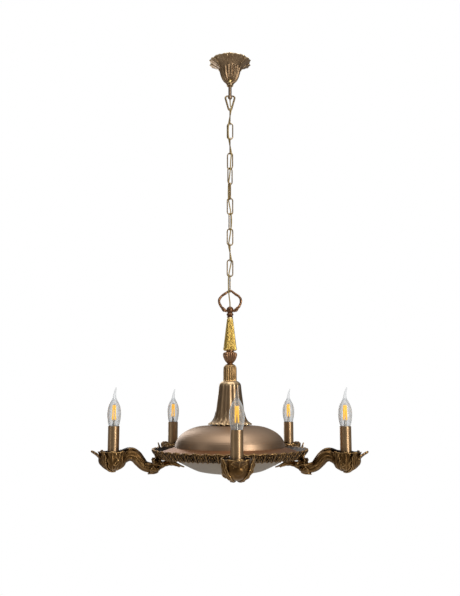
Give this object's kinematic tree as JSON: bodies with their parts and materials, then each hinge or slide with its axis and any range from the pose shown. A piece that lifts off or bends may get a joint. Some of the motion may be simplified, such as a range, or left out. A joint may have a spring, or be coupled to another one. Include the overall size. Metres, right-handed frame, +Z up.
{
  "type": "chandelier",
  "caption": "Chandelier on a link chain: ceiling rose, reeded column, spun dome and dish with a leaf band, and curved cast arms with candle lamps.",
  "frame": {"origin": "centre of the ceiling bracket's top face, on the ceiling plane", "axes": "+Z up along the hanging axis, -Y towards the front arm, +X to the right of the front"},
  "size_m": [0.6962, 0.6682, 1.168],
  "materials": {
    "steel": "zinc-plated",
    "stem_brass": "antique, satin",
    "rose_brass": "cast, dark antique with polished flutes",
    "screw_brass": "polished",
    "chain_brass": "antique, satin",
    "cord_fabric": "braided olive gold",
    "bail_bronze": "cast, brown",
    "cone_brass": "yellow, polished reeds",
    "urn_bronze": "cast, brown",
    "sleeve_brass": "antique, reeded",
    "skirt_brass": "antique, cast",
    "dome_bronze": "spun, satin",
    "band_brass": "cast, dark antique with rubbed edges",
    "dish_metal": "spun, grey satin",
    "arm_brass": "cast, dark antique with rubbed edges",
    "candle_brass": "antique, brushed",
    "white_insulator": "matte",
    "terminal_plastic": "matte",
    "bulb_glass": "clear",
    "bulb_metal": "nickel-plated",
    "filament": "yellow phosphor coat"
  },
  "bodies": {
    "ceiling_mount": {"ceiling_bracket": "steel", "stem": "stem_brass", "stem_nuts": "steel", "rose_terminal_block": "terminal_plastic", "supply_cord": "cord_fabric"},
    "rose": {"canopy": "rose_brass"},
    "lock_screw": {"canopy_lock_screw": "screw_brass"},
    "pear": {"pear_link": "chain_brass"},
    "link_01": {"chain_link_01": "chain_brass"},
    "link_02": {"chain_link_02": "chain_brass"},
    "link_03": {"chain_link_03": "chain_brass"},
    "link_04": {"chain_link_04": "chain_brass"},
    "link_05": {"chain_link_05": "chain_brass"},
    "link_06": {"chain_link_06": "chain_brass"},
    "link_07": {"chain_link_07": "chain_brass"},
    "link_08": {"chain_link_08": "chain_brass"},
    "link_09": {"chain_link_09": "chain_brass"},
    "link_10": {"chain_link_10": "chain_brass"},
    "link_11": {"chain_link_11": "chain_brass"},
    "link_12": {"chain_link_12": "chain_brass"},
    "fixture": {"suspension_bail": "bail_bronze", "neck_knop": "bail_bronze", "column_cone": "cone_brass", "column_urn": "urn_bronze", "column_sleeve": "sleeve_brass", "column_skirt": "skirt_brass", "center_rod": "steel", "top_dome": "dome_bronze", "leaf_band": "band_brass", "bottom_dish": "dish_metal", "arm_spider": "steel", "clamp_nuts": "steel", "bottom_cap_nut": "arm_brass", "branch_terminal_block": "terminal_plastic", "arm_1": "arm_brass", "arm_2": "arm_brass", "arm_3": "arm_brass", "arm_4": "arm_brass", "arm_5": "arm_brass", "candle_sleeve_1": "candle_brass", "candle_sleeve_2": "candle_brass", "candle_sleeve_3": "candle_brass", "candle_sleeve_4": "candle_brass", "candle_sleeve_5": "candle_brass", "lampholders": "white_insulator"},
    "bulb_1": {"bulb_glass_1": "bulb_glass", "bulb_cap_1": "bulb_metal", "bulb_filament_1": "filament"},
    "bulb_2": {"bulb_glass_2": "bulb_glass", "bulb_cap_2": "bulb_metal", "bulb_filament_2": "filament"},
    "bulb_3": {"bulb_glass_3": "bulb_glass", "bulb_cap_3": "bulb_metal", "bulb_filament_3": "filament"},
    "bulb_4": {"bulb_glass_4": "bulb_glass", "bulb_cap_4": "bulb_metal", "bulb_filament_4": "filament"},
    "bulb_5": {"bulb_glass_5": "bulb_glass", "bulb_cap_5": "bulb_metal", "bulb_filament_5": "filament"}
  },
  "joints": [
    {"name": "rose_slide", "type": "slide", "parent": "ceiling_mount", "child": "rose", "axis": [0, 0, 1], "range_m": [-0.017, 0]},
    {"name": "lock_screw_turn", "type": "hinge", "parent": "rose", "child": "lock_screw", "pos_m": [0, -0.01, -0.067], "axis": [0, -1, 0], "continuous": true},
    {"name": "pear_swing", "type": "hinge", "parent": "ceiling_mount", "child": "pear", "pos_m": [0, 0, -0.105], "axis": [1, 0, 0], "range_deg": [-40, 40], "deforming": ["supply_cord"]},
    {"name": "link_01_swing", "type": "hinge", "parent": "pear", "child": "link_01", "pos_m": [0, 0, -0.1465], "axis": [-1, 0, 0], "range_deg": [-40, 40], "deforming": ["supply_cord"]},
    {"name": "link_02_swing", "type": "hinge", "parent": "link_01", "child": "link_02", "pos_m": [0, 0, -0.1896], "axis": [0, 1, 0], "range_deg": [-40, 40], "deforming": ["supply_cord"]},
    {"name": "link_03_swing", "type": "hinge", "parent": "link_02", "child": "link_03", "pos_m": [0, 0, -0.2332], "axis": [1, 0, 0], "range_deg": [-40, 40], "deforming": ["supply_cord"]},
    {"name": "link_04_swing", "type": "hinge", "parent": "link_03", "child": "link_04", "pos_m": [0, 0, -0.2768], "axis": [0, -1, 0], "range_deg": [-40, 40], "deforming": ["supply_cord"]},
    {"name": "link_05_swing", "type": "hinge", "parent": "link_04", "child": "link_05", "pos_m": [0, 0, -0.3204], "axis": [-0.9397, 0.342, 0], "range_deg": [-40, 40], "deforming": ["supply_cord"]},
    {"name": "link_06_swing", "type": "hinge", "parent": "link_05", "child": "link_06", "pos_m": [0, 0, -0.364], "axis": [0.766, 0.6428, 0], "range_deg": [-40, 40], "deforming": ["supply_cord"]},
    {"name": "link_07_swing", "type": "hinge", "parent": "link_06", "child": "link_07", "pos_m": [0, 0, -0.4076], "axis": [-0.1736, 0.9848, 0], "range_deg": [-40, 40], "deforming": ["supply_cord"]},
    {"name": "link_08_swing", "type": "hinge", "parent": "link_07", "child": "link_08", "pos_m": [0, 0, -0.4512], "axis": [-0.9848, -0.1736, 0], "range_deg": [-40, 40], "deforming": ["supply_cord"]},
    {"name": "link_09_swing", "type": "hinge", "parent": "link_08", "child": "link_09", "pos_m": [0, 0, -0.4948], "axis": [-0.342, -0.9397, 0], "range_deg": [-40, 40], "deforming": ["supply_cord"]},
    {"name": "link_10_swing", "type": "hinge", "parent": "link_09", "child": "link_10", "pos_m": [0, 0, -0.5384], "axis": [1, 0, 0], "range_deg": [-40, 40], "deforming": ["supply_cord"]},
    {"name": "link_11_swing", "type": "hinge", "parent": "link_10", "child": "link_11", "pos_m": [0, 0, -0.582], "axis": [0, 1, 0], "range_deg": [-40, 40], "deforming": ["supply_cord"]},
    {"name": "link_12_swing", "type": "hinge", "parent": "link_11", "child": "link_12", "pos_m": [0, 0, -0.6256], "axis": [-1, 0, 0], "range_deg": [-40, 40], "deforming": ["supply_cord"]},
    {"name": "bail_swing", "type": "hinge", "parent": "link_12", "child": "fixture", "pos_m": [0, 0, -0.6692], "axis": [0, -1, 0], "range_deg": [-40, 40], "deforming": ["supply_cord"]},
    {"name": "bulb_1_screw", "type": "hinge", "parent": "fixture", "child": "bulb_1", "pos_m": [0.0154, -0.30586, -1.034], "axis": [0, 0, 1], "continuous": true},
    {"name": "bulb_2_screw", "type": "hinge", "parent": "fixture", "child": "bulb_2", "pos_m": [0.29188, -0.095, -1.034], "axis": [0, 0, 1], "continuous": true},
    {"name": "bulb_3_screw", "type": "hinge", "parent": "fixture", "child": "bulb_3", "pos_m": [0.17624, 0.25115, -1.034], "axis": [0, 0, 1], "continuous": true},
    {"name": "bulb_4_screw", "type": "hinge", "parent": "fixture", "child": "bulb_4", "pos_m": [-0.17178, 0.25439, -1.034], "axis": [0, 0, 1], "continuous": true},
    {"name": "bulb_5_screw", "type": "hinge", "parent": "fixture", "child": "bulb_5", "pos_m": [-0.29628, -0.07971, -1.034], "axis": [0, 0, 1], "continuous": true}
  ]
}
